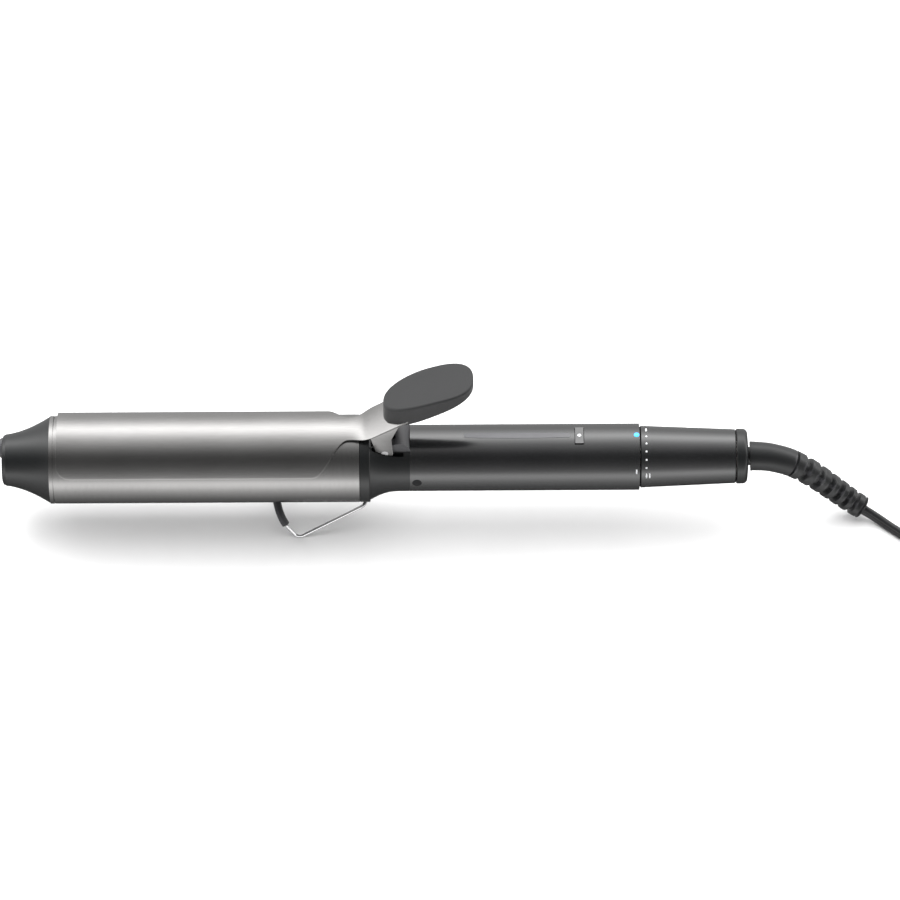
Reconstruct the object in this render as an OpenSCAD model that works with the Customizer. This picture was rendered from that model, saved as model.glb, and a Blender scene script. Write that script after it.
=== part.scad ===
// Curling iron lying on its wire stand, with its cord laid out in a tied hank.
// Stations run along X from the end face of the cool tip; the axis of the iron is level.

/* [Barrel] */
// Outer diameter of the heated barrel
barrel_d = 38; // [31:0.5:46]
// Length of the barrel from the cool tip to the collar
barrel_len = 133.7; // [110:0.1:165]
// Wall of the barrel tube
barrel_wall = 1; // [0.8:0.1:1.3]
// Length of the bright lip ring at the front of the barrel
lip_len = 1.6; // [1.3:0.1:2]
// Groove between the lip ring and the barrel tube
lip_groove = 0.4; // [0.3:0.1:0.6]
// Length of the heater and its two spreaders
heater_len = 92; // [76:1:100]
// Width of the ceramic heater plate
heater_w = 16; // [13:0.5:20]
// Thickness of the ceramic heater plate
heater_t = 3; // [2.5:0.1:3.6]

/* [Cool tip] */
// Length of the cool tip
tip_len = 20.8; // [17:0.1:25]
// Diameter of the end face of the cool tip
tip_end_d = 22.2; // [18:0.1:26]
// Wall of the cool tip
tip_wall = 2.2; // [1.8:0.1:2.6]
// Diameter of the small plug in the end face
nub_d = 9; // [7.5:0.1:10.8]
// How far the plug stands out of the end face
nub_out = 1.4; // [1.1:0.1:1.8]

/* [Clamp] */
// Thickness of the clamp sheet
clamp_t = 1; // [0.8:0.1:1.2]
// Gap between the closed clamp and the barrel
clamp_gap = 0.4; // [0.3:0.1:0.6]
// Gap between the cool tip and the front edge of the clamp
clamp_front = 3.3; // [2.7:0.1:4]
// Half of the angle that the clamp wraps round the barrel
clamp_half = 67; // [56:1:80]
// Radius of the front corners of the clamp
clamp_corner = 6; // [5:0.5:7]
// Length over which the clamp narrows to its lever
clamp_neck = 16; // [13.5:0.5:19]
// Half width of the lever at its neck
neck_half = 6.4; // [5.4:0.1:6.8]
// Slope of the lever above the handle
lever_slope = 33.3; // [28:0.1:36]
// Length of the sloping stretch of the lever
lever_len = 41; // [36:1:46]
// Half width of the part of the lever inside the thumb rest
tang_half = 5; // [4.2:0.1:6]

/* [Clamp hinge] */
// Distance from the collar's front face to the hinge pin
hinge_in = 11; // [10:0.1:12]
// Height of the hinge pin above the axis of the iron
hinge_up = 13; // [12:0.1:13.5]
// Diameter of the hinge pin
pin_d = 3; // [2.5:0.1:3.4]
// Distance from the middle plane to the inner face of each ear
ear_in = 7.8; // [7.2:0.1:8.4]
// Mean diameter of the torsion spring's coil
spring_d = 6; // [5.4:0.1:6.2]
// Wire of the torsion spring
spring_wire = 0.9; // [0.75:0.05:1.05]
// Turns of the torsion spring
spring_turns = 6; // [5:1:6]

/* [Thumb rest] */
// Length of the thumb rest along the iron
thumb_len = 38.5; // [34:0.5:44]
// Width of the thumb rest
thumb_w = 22; // [18.5:0.5:26]
// Distance from the collar's front face to the thumb rest
thumb_in = 10.5; // [9.5:0.1:11.5]

/* [Collar] */
// Length of the collar outside the handle
collar_len = 21.8; // [20.5:0.1:24]
// Length of the collar's full-size flange
flange_len = 4.6; // [3.9:0.1:5.5]
// Wall of the collar's neck
collar_wall = 2.4; // [2:0.1:2.8]

/* [Handle] */
// Outer diameter of the handle sleeve
handle_d = 28.8; // [27:0.1:31]
// Length of the handle sleeve
handle_len = 96.5; // [88:0.5:115]
// Wall of the handle sleeve
handle_wall = 2; // [1.7:0.1:2.3]
// Width of the control board
board_w = 19.6; // [16:0.2:20.2]
// Length of the control board
board_len = 66; // [56:1:68]
// Thickness of the control board
board_t = 1.6; // [1.3:0.1:1.9]
// Length of the power button along the iron
button_x = 3.6; // [3:0.1:4.3]
// Width of the power button across the iron
button_y = 9; // [7.5:0.1:9.6]
// Distance from the indicator ring to the power button's centre
button_in = 23.4; // [19.5:0.1:28]

/* [Dial and end] */
// Length of the indicator ring
ring_len = 2.6; // [2.6:0.1:3.1]
// Diameter of the indicator lamp's lens
lens_d = 2.4; // [2:0.1:2.4]
// Length of the temperature dial
dial_len = 42; // [40:0.1:50]
// Diameter of the dial beside the indicator ring
dial_d0 = 26.8; // [25.5:0.1:28]
// Diameter of the dial beside the end cap
dial_d1 = 23.4; // [23:0.1:25]
// Outer diameter of the fixed hub that the dial turns on
hub_d = 20.4; // [19:0.1:20.8]
// Length of the end cap outside the dial
cap_len = 5.2; // [4.4:0.1:6.2]
// Diameter of the end cap
cap_d = 23.8; // [23:0.1:26]
// Diameter of the cord swivel's stem
stem_d = 8; // [7:0.1:8.8]

/* [Stand] */
// Wire of the stand
wire_d = 1.5; // [1.3:0.1:1.8]
// Outer diameter of the sleeve on the stand's toe
sleeve_d = 3.5; // [3:0.1:4.2]
// Height of the iron's axis above the table
axis_h = 36; // [34:0.5:43]
// Distance from the stand's pivot forward to its feet
stand_reach = 28.7; // [24:0.1:34]
// Distance from the feet forward to the top of the toe
toe_run = 8.4; // [7:0.1:10]
// Depth of the stand's pivot inside the flange's edge
pivot_inset = 4.2; // [3.6:0.1:5]

/* [Cord] */
// Width of the flat twin cord
cord_w = 5.4; // [5.4:0.1:5.4]
// Thickness of the flat twin cord
cord_t = 2.9; // [2.9:0.1:2.9]
// Diameter of the strain relief at the end cap
relief_d0 = 12.9; // [11:0.1:14]
// Diameter of the strain relief's last rib
relief_d1 = 8.7; // [8:0.1:9]
// Ribs on the strain relief
relief_ribs = 7; // [6:1:8]
// Length of the hank's straight runs
hank_run = 99.3; // [99.3:0.1:99.3]
// Outer width of the hank
hank_w = 50; // [50:1:50]
// Length of the plug's body
plug_len = 36; // [30:1:43]
// Width of the plug's body
plug_w = 34; // [29:1:40]
// Diameter of the plug's pins
plug_pin_d = 4; // [4:0.1:4.8]
// Distance between the plug's pins
plug_pitch = 18.6; // [16:0.1:22]
// Length of the plug's pins
plug_pin_len = 19; // [16:1:22]

/* [Clearances] */
// Running clearance round a turning shaft
run_gap = 0.06; // [0.05:0.01:0.1]
// Clearance of pieces that push together
fit_gap = 0.1; // [0.05:0.01:0.15]
// Clearance between a moving piece and the pieces beside it
free_gap = 0.3; // [0.25:0.05:0.4]

/* [Hidden] */

far = 60;
round_fn = 96;
barrel_r = barrel_d / 2;
barrel_ri = barrel_r - barrel_wall;
tip_s = tip_len;
lip_s = tip_s + lip_len;
tube_s = lip_s + lip_groove;
collar_s = tip_s + barrel_len;
flange_s = collar_s + flange_len;
handle_s = collar_s + collar_len;
ring_s = handle_s + handle_len;
dial_s = ring_s + ring_len;
cap_s = dial_s + dial_len;
end_s = cap_s + cap_len;
stem_out = 0.8;
mid_s = (end_s + stem_out - nub_out) / 2;
spigot = 6;
handle_r = handle_d / 2;
handle_ri = handle_r - handle_wall;
chassis_r = handle_ri - fit_gap;
chassis_wall = 1.6;
chassis_ri = chassis_r - chassis_wall;
neck_ri = handle_r - collar_wall - 1;
clamp_ri = barrel_r + clamp_gap;
clamp_ro = clamp_ri + clamp_t;
clamp_s = tip_s + clamp_front;
hinge_s = collar_s + hinge_in;
ear_out = ear_in + clamp_t;
ear_r = 3.6;
heater_s = tube_s + spigot + 12;
hub_r = hub_d / 2;
hub_ri = hub_r - 2;
hub_s = ring_s - 8;
chassis_s0 = handle_s + spigot + 1;
chassis_s1 = hub_s - 0.5;
board_s0 = chassis_s0 + 4;
board_z = 0;
board_top = board_z + board_t;
button_s = ring_s - button_in;
button_travel = 0.8;
wire_r = wire_d / 2;
sleeve_r = sleeve_d / 2;
pivot_s = collar_s + flange_len / 2;
pivot_z = pivot_inset - barrel_r;
leg_clear = 2.1;
leg_y = sqrt(barrel_r * barrel_r - pivot_z * pivot_z) + leg_clear;
foot_s = pivot_s - stand_reach;
foot_z = wire_r - axis_h;
toe_z = -(barrel_r + free_gap + sleeve_r);
tie_t = 0.6;
layer = cord_w + 0.05;
hank_base = tie_t + 0.05;
hank_r = hank_w / 2;
tail_z = hank_base + layer + cord_w / 2;

// Route of the strain relief's centre line: station, across, height above the table
relief_route = [[0, 0, 0], [2, 0, 0], [8.5, 0, -0.8], [16.5, -0.2, -3.6], [23.5, -0.5, -8.1], [30, -0.9, -13.6],
    [35.5, -1.3, -18.8], [40.5, -1.8, -23.4], [45, -2.6, -27.2], [49.5, -3.8, -30.1]];
// Route of the cord from the strain relief to the hank: station, across, height above the table
cord_route = [[372, -3.8, 5.9], [375, -5.1, 4.6], [378, -6.8, 3.7], [382, -9.8, 3.0],
    [387, -14.2, 2.75], [392, -18.3, 2.75], [398, -22.3, 2.8], [405, -25.7, 2.95],
    [413, -27.9, 3.15], [421, -28.6, 3.35]];
hank_s = 424;
hank_y = -5.1;
hank_end = hank_s + hank_run;
cord_y = -28.6;
plug_s = 559;
plug_y = -12.3;

// Moves children from stations on the iron's axis into the part's own frame
module at(s, y = 0, z = 0) translate([s - mid_s, y, axis_h + z]) children();
// Turns a profile of [radius, station] points round the iron's axis
module lathe(pts) at(0) rotate([0, 90, 0]) rotate_extrude($fn = round_fn) polygon(pts);
module ring(s0, s1, ri, ro) lathe([[ri, s0], [ro, s0], [ro, s1], [ri, s1]]);
// A solid of side-view [station, height] points, extruded across the iron
module side(pts, half) at(0) rotate([90, 0, 0]) linear_extrude(2 * half, center = true) polygon(pts);
module rod_y(s, z, y0, y1, r) at(s, y0, z) rotate([-90, 0, 0]) cylinder(h = y1 - y0, r = r, $fn = 48);
module block(s0, s1, y0, y1, z0, z1) at(s0, y0, z0) cube([s1 - s0, y1 - y0, z1 - z0]);
// Direction of a route at its point i
function along(p, i) = let (d = p[min(i + 1, len(p) - 1)] - p[max(i - 1, 0)]) d / norm(d);
function unit(v) = v / norm(v);
// Ring i of a swept tube: side half width u, upright half height v
function ring_at(p, i, u, v, n) = let (t = along(p, i), a = unit(cross(t, [0, 0, 1])), b = cross(a, t))
    [for (k = [0:n - 1]) p[i] + a * u * cos(360 * k / n) + b * v * sin(360 * k / n)];
// Sweeps an oval along a route; us and vs hold one half width and half height for each point
module sweep(p, us, vs, n) {
    m = len(p);
    pts = [for (i = [0:m - 1]) each ring_at(p, i, us[i], vs[i], n)];
    sides = [for (i = [0:m - 2], k = [0:n - 1])
        [i * n + k, i * n + (k + 1) % n, (i + 1) * n + (k + 1) % n, (i + 1) * n + k]];
    ends = [[for (k = [0:n - 1]) n - 1 - k], [for (k = [0:n - 1]) (m - 1) * n + k]];
    polyhedron(pts, concat(sides, ends), convexity = 8);
}
function same(p, r) = [for (q = p) r];
// Point j of a curve through a route (Catmull-Rom), with k steps a stretch
function curve_at(p, i, f) = let (n = len(p) - 1, a = p[max(i - 1, 0)], b = p[i], c = p[min(i + 1, n)],
    d = p[min(i + 2, n)]) 0.5 * (2 * b + (c - a) * f + (2 * a - 5 * b + 4 * c - d) * f * f
    + (3 * b - a - 3 * c + d) * f * f * f);
function curve(p, k) = concat([for (i = [0:len(p) - 2], j = [0:k - 1]) curve_at(p, i, j / k)],
    [p[len(p) - 1]]);

// Radius of the cool tip at a share f of its length
function tip_r(f) = tip_end_d / 2 + (barrel_r - 0.1 - tip_end_d / 2) * pow(f, 1.7);

module cool_tip() color("black") {
    edge = 1.6;
    difference() {
        lathe(concat([[0, 0], [tip_end_d / 2 - edge, 0], [tip_end_d / 2 - edge * 0.3, edge * 0.3]],
            [for (f = [0.08:0.046:1]) [tip_r(f), f * tip_s]],
            [[barrel_r - 0.1, tip_s], [barrel_ri - 1, tip_s], [barrel_ri - 1, lip_s + spigot],
            [barrel_ri - 1 - tip_wall, lip_s + spigot], [barrel_ri - 1 - tip_wall, tip_s],
            [tip_end_d / 2 - tip_wall, 2 * tip_wall], [0, 2 * tip_wall]]));
        nub_place() translate([0, 0, -far / 2]) cylinder(h = far, d = 4, $fn = 48);
    }
}
// The tip's plug sits off the axis, up and to the back
nub_off = 5.2;
nub_turn = 49;
module nub_place() at(0) rotate([-nub_turn, 0, 0]) translate([0, 0, nub_off]) rotate([0, 90, 0]) children();

module tip_plug() color("dimgray") nub_place() {
    translate([0, 0, -nub_out]) rotate_extrude($fn = 48)
        polygon([[0, 0], [nub_d / 2 - 1, 0], [nub_d / 2 - 0.3, 0.4], [nub_d / 2, nub_out], [0, nub_out]]);
    cylinder(h = tip_wall, d = 4 - 2 * fit_gap, $fn = 48);
}

module barrel_lip() color("silver") lathe([[barrel_ri - 1 + fit_gap, tip_s], [barrel_r, tip_s],
    [barrel_r, lip_s], [barrel_ri - fit_gap, lip_s], [barrel_ri - fit_gap, lip_s + spigot],
    [barrel_ri - 1 + fit_gap, lip_s + spigot]]);

module barrel_tube() color("silver") ring(tube_s, collar_s, barrel_ri, barrel_r);

module heater_plate() color("ivory")
    block(heater_s, heater_s + heater_len, -heater_w / 2, heater_w / 2, -heater_t / 2, heater_t / 2);

// Half-round aluminium extrusion that carries heat from the plate to the barrel: skin, web and foot
spreader_skin = 1.5;
module spreader(side_z) {
    outer = barrel_ri - fit_gap;
    s0 = heater_s + 2;
    s1 = heater_s + heater_len - 2;
    module half() intersection() {
        children();
        block(s0, s1, -far, far, side_z > 0 ? fit_gap : -far, side_z > 0 ? far : -fit_gap);
    }
    half() ring(s0, s1, outer - spreader_skin, outer);
    z0 = side_z > 0 ? heater_t / 2 : -heater_t / 2 - 2;
    block(s0, s1, -heater_w / 2, heater_w / 2, z0, z0 + 2);
    intersection() {
        ring(s0, s1, 0, outer - spreader_skin / 2);
        block(s0, s1, -1.25, 1.25, side_z > 0 ? z0 + 1 : -far, side_z > 0 ? far : z0 + 1);
    }
}
module spreader_upper() color("lightgray") spreader(1);
module spreader_lower() color("lightgray") spreader(-1);

sensor_s = heater_s + heater_len - 20;
module thermistor() color("orange") {
    at(sensor_s, 9, -9) rotate([0, 90, 0]) cylinder(h = 14, d = 2.4, $fn = 32);
    at(sensor_s + 14, 9, -9) rotate([0, 90, 0]) cylinder(h = 6, d = 1.2, $fn = 24);
}
module thermal_fuse() color("gray") {
    at(sensor_s, -9, 9) rotate([0, 90, 0]) cylinder(h = 11, d = 4, $fn = 32);
    at(sensor_s + 11, -9, 9) rotate([0, 90, 0]) cylinder(h = 7, d = 1.2, $fn = 24);
}

insulator_r = neck_ri + 1;
lead_y = 4;
lead_z = 4.4;
lead_r = 0.9;
module barrel_insulator() color("tan") difference() {
    lathe([[2, collar_s - 7], [barrel_ri - fit_gap, collar_s - 7], [barrel_ri - fit_gap, collar_s],
        [insulator_r - fit_gap, collar_s], [insulator_r - fit_gap, collar_s + 2.5], [2, collar_s + 2.5]]);
    for (y = [-1, 1]) at(collar_s - 8, y * lead_y, lead_z) rotate([0, 90, 0])
        cylinder(h = 12, r = lead_r + 0.3, $fn = 24);
}

// Neck radius of the collar at a share f of the way from its flange to the handle
neck_top = barrel_r - 0.9;
neck_len = 12;
function neck_r(f) = handle_r + (neck_top - handle_r) * pow(1 - f, 2);
screw_d = 2.4;
module collar() color("black") difference() {
    lathe(concat([[insulator_r, collar_s], [barrel_r - 0.3, collar_s], [barrel_r, collar_s + 0.3],
        [barrel_r, flange_s - 0.3], [barrel_r - 0.3, flange_s]],
        [for (f = [0:0.0625:1]) [neck_r(f), flange_s + f * neck_len]],
        [[handle_r, handle_s], [handle_ri - fit_gap, handle_s], [handle_ri - fit_gap, handle_s + spigot],
        [neck_ri - 1, handle_s + spigot], [neck_ri - 1, collar_s + 2.6], [insulator_r, collar_s + 2.6]]));
    // Pocket for the hinge block and slots for the clamp's ears
    block(hinge_s - 6, handle_s + fit_gap, -ear_in + 0.5, ear_in - 0.5, hinge_up - 4.2, far);
    for (y = [-1, 1]) block(hinge_s - 5.6, hinge_s + 8, y * (ear_in + ear_out) / 2 - 0.5 * clamp_t - free_gap,
        y * (ear_in + ear_out) / 2 + 0.5 * clamp_t + free_gap, hinge_up - ear_r - free_gap, far);
    rod_y(hinge_s, hinge_up, -ear_out - free_gap, ear_out + free_gap, pin_d / 2 + fit_gap);
    for (y = [-1, 1]) rod_y(pivot_s, pivot_z, y * leg_y - (y > 0 ? 5.5 : 0), y * leg_y + (y > 0 ? 0 : 5.5),
        wire_r + run_gap);
    for (y = [-1, 1]) at(handle_s + spigot / 2, y * (handle_ri - 3), 0) rotate([-90 * y, 0, 0])
        cylinder(h = 8, d = screw_d - 0.2, $fn = 32);
}

// Countersunk screws that hold the handle sleeve on the collar's spigot
module collar_screws() color("silver") for (y = [-1, 1])
    at(handle_s + spigot / 2, y * (handle_r - 0.15), 0) rotate([90 * y, 0, 0]) rotate_extrude($fn = 48)
        polygon([[0, 0], [screw_d * 0.8, 0], [screw_d * 0.8, 0.5], [screw_d / 2 - 0.1, 1.3],
        [screw_d / 2 - 0.1, 4], [0, 4]]);

block_half = ear_in - 0.5 - fit_gap;
module hinge_block() color("dimgray") difference() {
    intersection() {
        union() {
            rod_y(hinge_s, hinge_up, -block_half, block_half, 4.4);
            block(hinge_s - 5.8, handle_s, -block_half, block_half, hinge_up - 4.2, hinge_up - 0.6);
            rod_y(handle_s - 4.6, hinge_up - 0.4, -block_half, block_half, 4.6);
        }
        block(hinge_s - 5.8, handle_s, -block_half, block_half, hinge_up - 4.2 + fit_gap, far);
    }
    rod_y(hinge_s, hinge_up, -far, far, pin_d / 2);
    block(hinge_s - 6, hinge_s + 4.6, -spring_half - 0.3, spring_half + 0.3, hinge_up - 3.5, far);
}

pin_half = ear_out + 0.1;
module hinge_pin() color("silver") rod_y(hinge_s, hinge_up, -pin_half, pin_half, pin_d / 2);

// Torsion spring round the pin: one leg on the block's floor, the other under the lever
spring_half = spring_turns * (spring_wire + 0.05) / 2 + spring_wire / 2;
module torsion_spring() color("gray") {
    steps = 12 * spring_turns;
    r = spring_d / 2;
    coil = [for (i = [0:steps]) let (a = 270 - (360 * spring_turns + 90) * i / steps)
        [r * cos(a), (i / steps - 0.5) * spring_turns * (spring_wire + 0.05), r * sin(a)]];
    p = concat([coil[0] + [4.2, 0, 0]], coil, [coil[steps] + [-0.5, 0, 4.5], coil[steps] + [-1.6, 0, 9.4]]);
    at(hinge_s, 0, hinge_up) rotate([90, 0, 0]) spring_sweep(p);
}
module spring_sweep(p) {
    q = [for (v = p) [v[0], v[2], -v[1]]];
    sweep(q, same(q, spring_wire / 2), same(q, spring_wire / 2), 6);
}

// Angle of the clamp's side edge where it narrows, f from 0 at full width to 1 at the neck
neck_angle = asin(neck_half / clamp_ro);
function edge_angle(f) = neck_angle + (clamp_half - neck_angle) * (0.5 + 0.5 * cos(180 * f));
full_s = collar_s - 4.5 - clamp_neck;
bend_s = collar_s - 3.5;
bend_r = 12;
slope_s = bend_s + bend_r * sin(lever_slope);
slope_z = clamp_ri + bend_r * (1 - cos(lever_slope));
lever_dx = cos(lever_slope);
lever_dz = sin(lever_slope);
corner_deg = clamp_corner / clamp_ro * 180 / PI;

module clamp() color("silver") difference() {
    union() {
        intersection() {
            ring(clamp_s, full_s + clamp_neck, clamp_ri, clamp_ro);
            side(concat(
                [for (a = [90:-15:0]) [clamp_s + clamp_corner * (1 - sin(a)),
                    clamp_ro * cos(clamp_half - corner_deg * (1 - cos(a)))]],
                [for (f = [0:0.1:1]) [full_s + f * clamp_neck, clamp_ro * cos(edge_angle(f))]],
                [[full_s + clamp_neck, far], [clamp_s, far]]), far);
        }
        intersection() {
            side(lever_profile(), ear_out);
            at(0, 0, 0) linear_extrude(far) polygon(concat(
                [for (p = lever_plan) [p[0], p[1]]], [for (i = [len(lever_plan) - 1:-1:0])
                [lever_plan[i][0], -lever_plan[i][1]]]));
        }
        for (y = [-1, 1]) at(0, y * (ear_in + ear_out) / 2) rotate([90, 0, 0])
            linear_extrude(clamp_t, center = true) ear_outline();
    }
    rod_y(hinge_s, hinge_up, -far, far, pin_d / 2 + run_gap);
    for (d = screw_at) lever_place(d) translate([0, 0, -far / 2]) cylinder(h = far, d = 2.6, $fn = 32);
}
// Half widths of the lever at its stations
lever_plan = [[full_s + clamp_neck - 4, neck_half - 0.6], [bend_s + 1, neck_half],
    [slope_s, neck_half + 0.9], [hinge_s - 5, ear_out], [hinge_s + 6, ear_out],
    [hinge_s + 11, tang_half + 1], [hinge_s + 13, tang_half], [hinge_s + 40, tang_half]];
// Side view of the bent sheet: flat, round the bend, then up the slope, and back along its top
function lever_profile() = concat([[full_s + clamp_neck - 4, clamp_ri]],
    [for (a = [0:0.2:1]) [bend_s + bend_r * sin(a * lever_slope),
        clamp_ri + bend_r * (1 - cos(a * lever_slope))]],
    [[slope_s + lever_len * lever_dx, slope_z + lever_len * lever_dz],
    [slope_s + lever_len * lever_dx - clamp_t * lever_dz, slope_z + lever_len * lever_dz + clamp_t * lever_dx]],
    [for (a = [1:-0.2:0]) [bend_s + (bend_r - clamp_t) * sin(a * lever_slope),
        clamp_ri + bend_r - (bend_r - clamp_t) * cos(a * lever_slope)]],
    [[full_s + clamp_neck - 4, clamp_ro]]);
function slope_at(s) = slope_z + (s - slope_s) * tan(lever_slope);
module ear_outline() {
    translate([hinge_s, hinge_up]) circle(r = ear_r, $fn = 48);
    polygon([[hinge_s - ear_r, hinge_up], [hinge_s + ear_r, hinge_up], [hinge_s + 3, hinge_up + 9],
        [hinge_s + 5.6, slope_at(hinge_s + 5.6) + 0.3], [hinge_s - 5, slope_at(hinge_s - 5) + 0.3]]);
}
// A place on the lever's underside at distance d up its slope
module lever_place(d) at(slope_s + d * lever_dx, 0, slope_z + d * lever_dz) rotate([0, -lever_slope, 0]) children();
screw_at = [27, 36];

thumb_s = collar_s + thumb_in;
thumb_z = slope_at(thumb_s + 8.5);
// Side view of the thumb rest: along its top, round its nose and back under the lever
thumb_side = [[0, 4.6], [0.6, 6.2], [2.2, 8], [5, 9.6], [8, 10.9], [thumb_len - 5, 21.6],
    [thumb_len - 1.5, 22.6], [thumb_len, 21.6], [thumb_len - 0.8, 20], [thumb_len - 3, 18.2],
    [8.6, -0.2], [4.5, -1.2], [1.6, 0], [0.3, 2]];
module thumb_outline() {
    r0 = thumb_w * 0.4;
    hull() {
        translate([thumb_s + r0, 0]) circle(r = r0, $fn = 64);
        translate([thumb_s + thumb_len - 0.45 * thumb_w, 0]) circle(r = 0.45 * thumb_w, $fn = 64);
        translate([thumb_s + 0.52 * thumb_len, 0]) circle(r = thumb_w / 2, $fn = 64);
    }
}
module thumb_rest() color("dimgray") difference() {
    intersection() {
        side([for (p = thumb_side) [thumb_s + p[0], thumb_z + p[1]]], far);
        at(0) linear_extrude(far * 2, center = true) thumb_outline();
    }
    // Slot for the lever, and pilot holes for its screws
    side([[hinge_s - 12, slope_at(hinge_s - 12) - 8], [hinge_s + 6.8, slope_at(hinge_s + 6.8) - 8],
        [hinge_s + 6.8, slope_at(hinge_s + 6.8) + 1.9], [hinge_s - 12, slope_at(hinge_s - 12) + 1.9]],
        ear_out + fit_gap);
    lever_place(0) translate([-2, -ear_out - fit_gap, -fit_gap])
        cube([26, 2 * (ear_out + fit_gap), clamp_t + 2 * fit_gap]);
    lever_place(0) translate([10, -tang_half - 1.1, -fit_gap])
        cube([lever_len - 10 + 0.5, 2 * tang_half + 2.2, clamp_t + 2 * fit_gap]);
    for (d = screw_at) lever_place(d) translate([0, 0, -8]) {
        cylinder(h = 12.5, d = 2.2, $fn = 32);
        cylinder(h = 7.2, d = 4.4, $fn = 32);
    }
}
module thumb_rest_screws() color("silver") for (d = screw_at) lever_place(d) {
    translate([0, 0, -1.1]) cylinder(h = 1.1 - fit_gap, d = 4, $fn = 32);
    translate([0, 0, -fit_gap - 0.2]) cylinder(h = 4.4, d = 2, $fn = 32);
}

// The stand's wire, half of it: a turned-in end, a leg, a rounded foot and half of the toe's arch
foot_r = 3;
bend_in = 2;
pin_in = 5;
foot_c = [foot_s, foot_z + foot_r];
to_pivot = [pivot_s, pivot_z] - foot_c;
leg_angle = atan2(to_pivot[1], to_pivot[0]) + asin(foot_r / norm(to_pivot));
toe_angle = atan2(toe_z - foot_z, toe_run);
leg_dir = [cos(leg_angle), 0, sin(leg_angle)];
toe_start = foot_c + foot_r * [-sin(toe_angle), -cos(toe_angle)];
function toe_point(a) = let (h = 0.3 + 0.7 * sin(a), z = toe_start[1] + (toe_z - toe_start[1]) * h)
    [toe_start[0] - (z - toe_start[1]) / tan(toe_angle), -leg_y * pow(max(cos(a), 0), 0.8), z];
half_toe = [for (a = [0:10:90]) toe_point(a)];
half_wire = concat([[pivot_s, pin_in - leg_y, pivot_z]],
    [for (a = [0:30:90]) [pivot_s, bend_in * (1 - sin(a)) - leg_y, pivot_z] - leg_dir * bend_in * (1 - cos(a))],
    [for (a = [leg_angle:-12:-toe_angle]) [foot_c[0] + foot_r * sin(a), -leg_y, foot_c[1] - foot_r * cos(a)]],
    half_toe);
function mirrored(p) = [for (i = [len(p) - 2:-1:0]) [p[i][0], -p[i][1], p[i][2]]];
function both(p) = concat(p, mirrored(p));
module stand_wire() color("gray") at(0) sweep(both(half_wire), same(both(half_wire), wire_r),
    same(both(half_wire), wire_r), 12);
module stand_sleeve() color("darkslategray") at(0) difference() {
    outer = both([for (a = [14:7.6:90]) toe_point(a)]);
    inner = both([for (a = [8:4.1:90]) toe_point(a)]);
    sweep(outer, same(outer, sleeve_r), same(outer, sleeve_r), 12);
    sweep(inner, same(inner, wire_r + fit_gap), same(inner, wire_r + fit_gap), 10);
}

module handle_sleeve() color([0.08, 0.08, 0.09]) difference() {
    ring(handle_s, ring_s, handle_ri, handle_r);
    block(button_s - button_x / 2 - 0.25, button_s + button_x / 2 + 0.25, -button_y / 2 - 0.25,
        button_y / 2 + 0.25, 0, far);
    for (y = [-1, 1]) at(handle_s + spigot / 2, y * (handle_r + 0.1), 0) rotate([90 * y, 0, 0])
        rotate_extrude($fn = 48) polygon([[0, -1], [screw_d * 0.8 + 0.1, -1], [screw_d * 0.8 + 0.1, 0.8],
        [screw_d / 2 + 0.1, 1.7], [screw_d / 2 + 0.1, 6], [0, 6]]);
}

flange_gap = 0.4;
// Half of the tray inside the handle that holds the board
module chassis_half(up) difference() {
    ring(chassis_s0, chassis_s1, chassis_ri, chassis_r);
    block(0, far * 8, -far, far, up ? -far : 0, up ? 0 : far);
}
module chassis_upper() color([0.85, 0.83, 0.78]) {
    difference() {
        chassis_half(true);
        block(button_s - button_x / 2 - 0.4, button_s + button_x / 2 + 0.4, -button_y / 2 - 0.4,
            button_y / 2 + 0.4, 0, far);
    }
}
module chassis_lower() color([0.85, 0.83, 0.78]) {
    chassis_half(false);
    // Ledges that the board rests on
    intersection() {
        ring(chassis_s0 + 5, chassis_s1 - 5, 0, chassis_ri + 0.1);
        for (y = [-1, 1]) block(0, far * 8, y > 0 ? board_w / 2 - 2.4 : -chassis_r,
            y > 0 ? chassis_r : 2.4 - board_w / 2, -2, board_z);
    }
    // Bosses under the board's screws
    difference() {
        intersection() {
            ring(chassis_s0 + 1, chassis_s1 - 1, 0, chassis_ri + 0.1);
            for (s = board_hole) at(s, 0, -far) cylinder(h = far + board_z, r = 2.4, $fn = 48);
        }
        for (s = board_hole) at(s, 0, board_z - 6) cylinder(h = 10, d = 1.8, $fn = 32);
    }
}
board_hole = [board_s0 + 4, board_s0 + board_len - 14];
module board_screws() color("silver") for (s = board_hole) at(s, 0, 0) {
    translate([0, 0, board_top]) cylinder(h = 1.2, d = 3.8, $fn = 32);
    translate([0, 0, board_z - 5]) cylinder(h = 5 + board_t + 0.1, d = 1.8, $fn = 32);
}

module control_board() color("darkgreen") difference() {
    block(board_s0, board_s0 + board_len, -board_w / 2, board_w / 2, board_z, board_top);
    for (s = board_hole) at(s, 0, board_z - 1) cylinder(h = 4, d = 2.2, $fn = 32);
}
module board_parts() color("navy") {
    at(board_s0 + 14, 3, board_top) cylinder(h = 7, d = 6.3, $fn = 48);
    block(board_s0 + 20, board_s0 + 30, -6, 4, board_top, board_top + 5);
    block(board_s0 + 33, board_s0 + 40, -4, 4, board_top, board_top + 1.4);
    for (i = [0:3]) block(board_s0 + 20 + 5 * i, board_s0 + 22.5 + 5 * i, -2, 2, board_z - 1, board_z);
}
switch_top = 5.4;
module tact_switch() color("black") {
    block(button_s - 3, button_s + 3, -3, 3, board_top, board_top + 2.4);
    at(button_s, 0, board_top + 2.3) cylinder(h = switch_top - board_top - 2.3, d = 3.2, $fn = 32);
}
button_flange = chassis_ri - 2.4;
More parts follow.
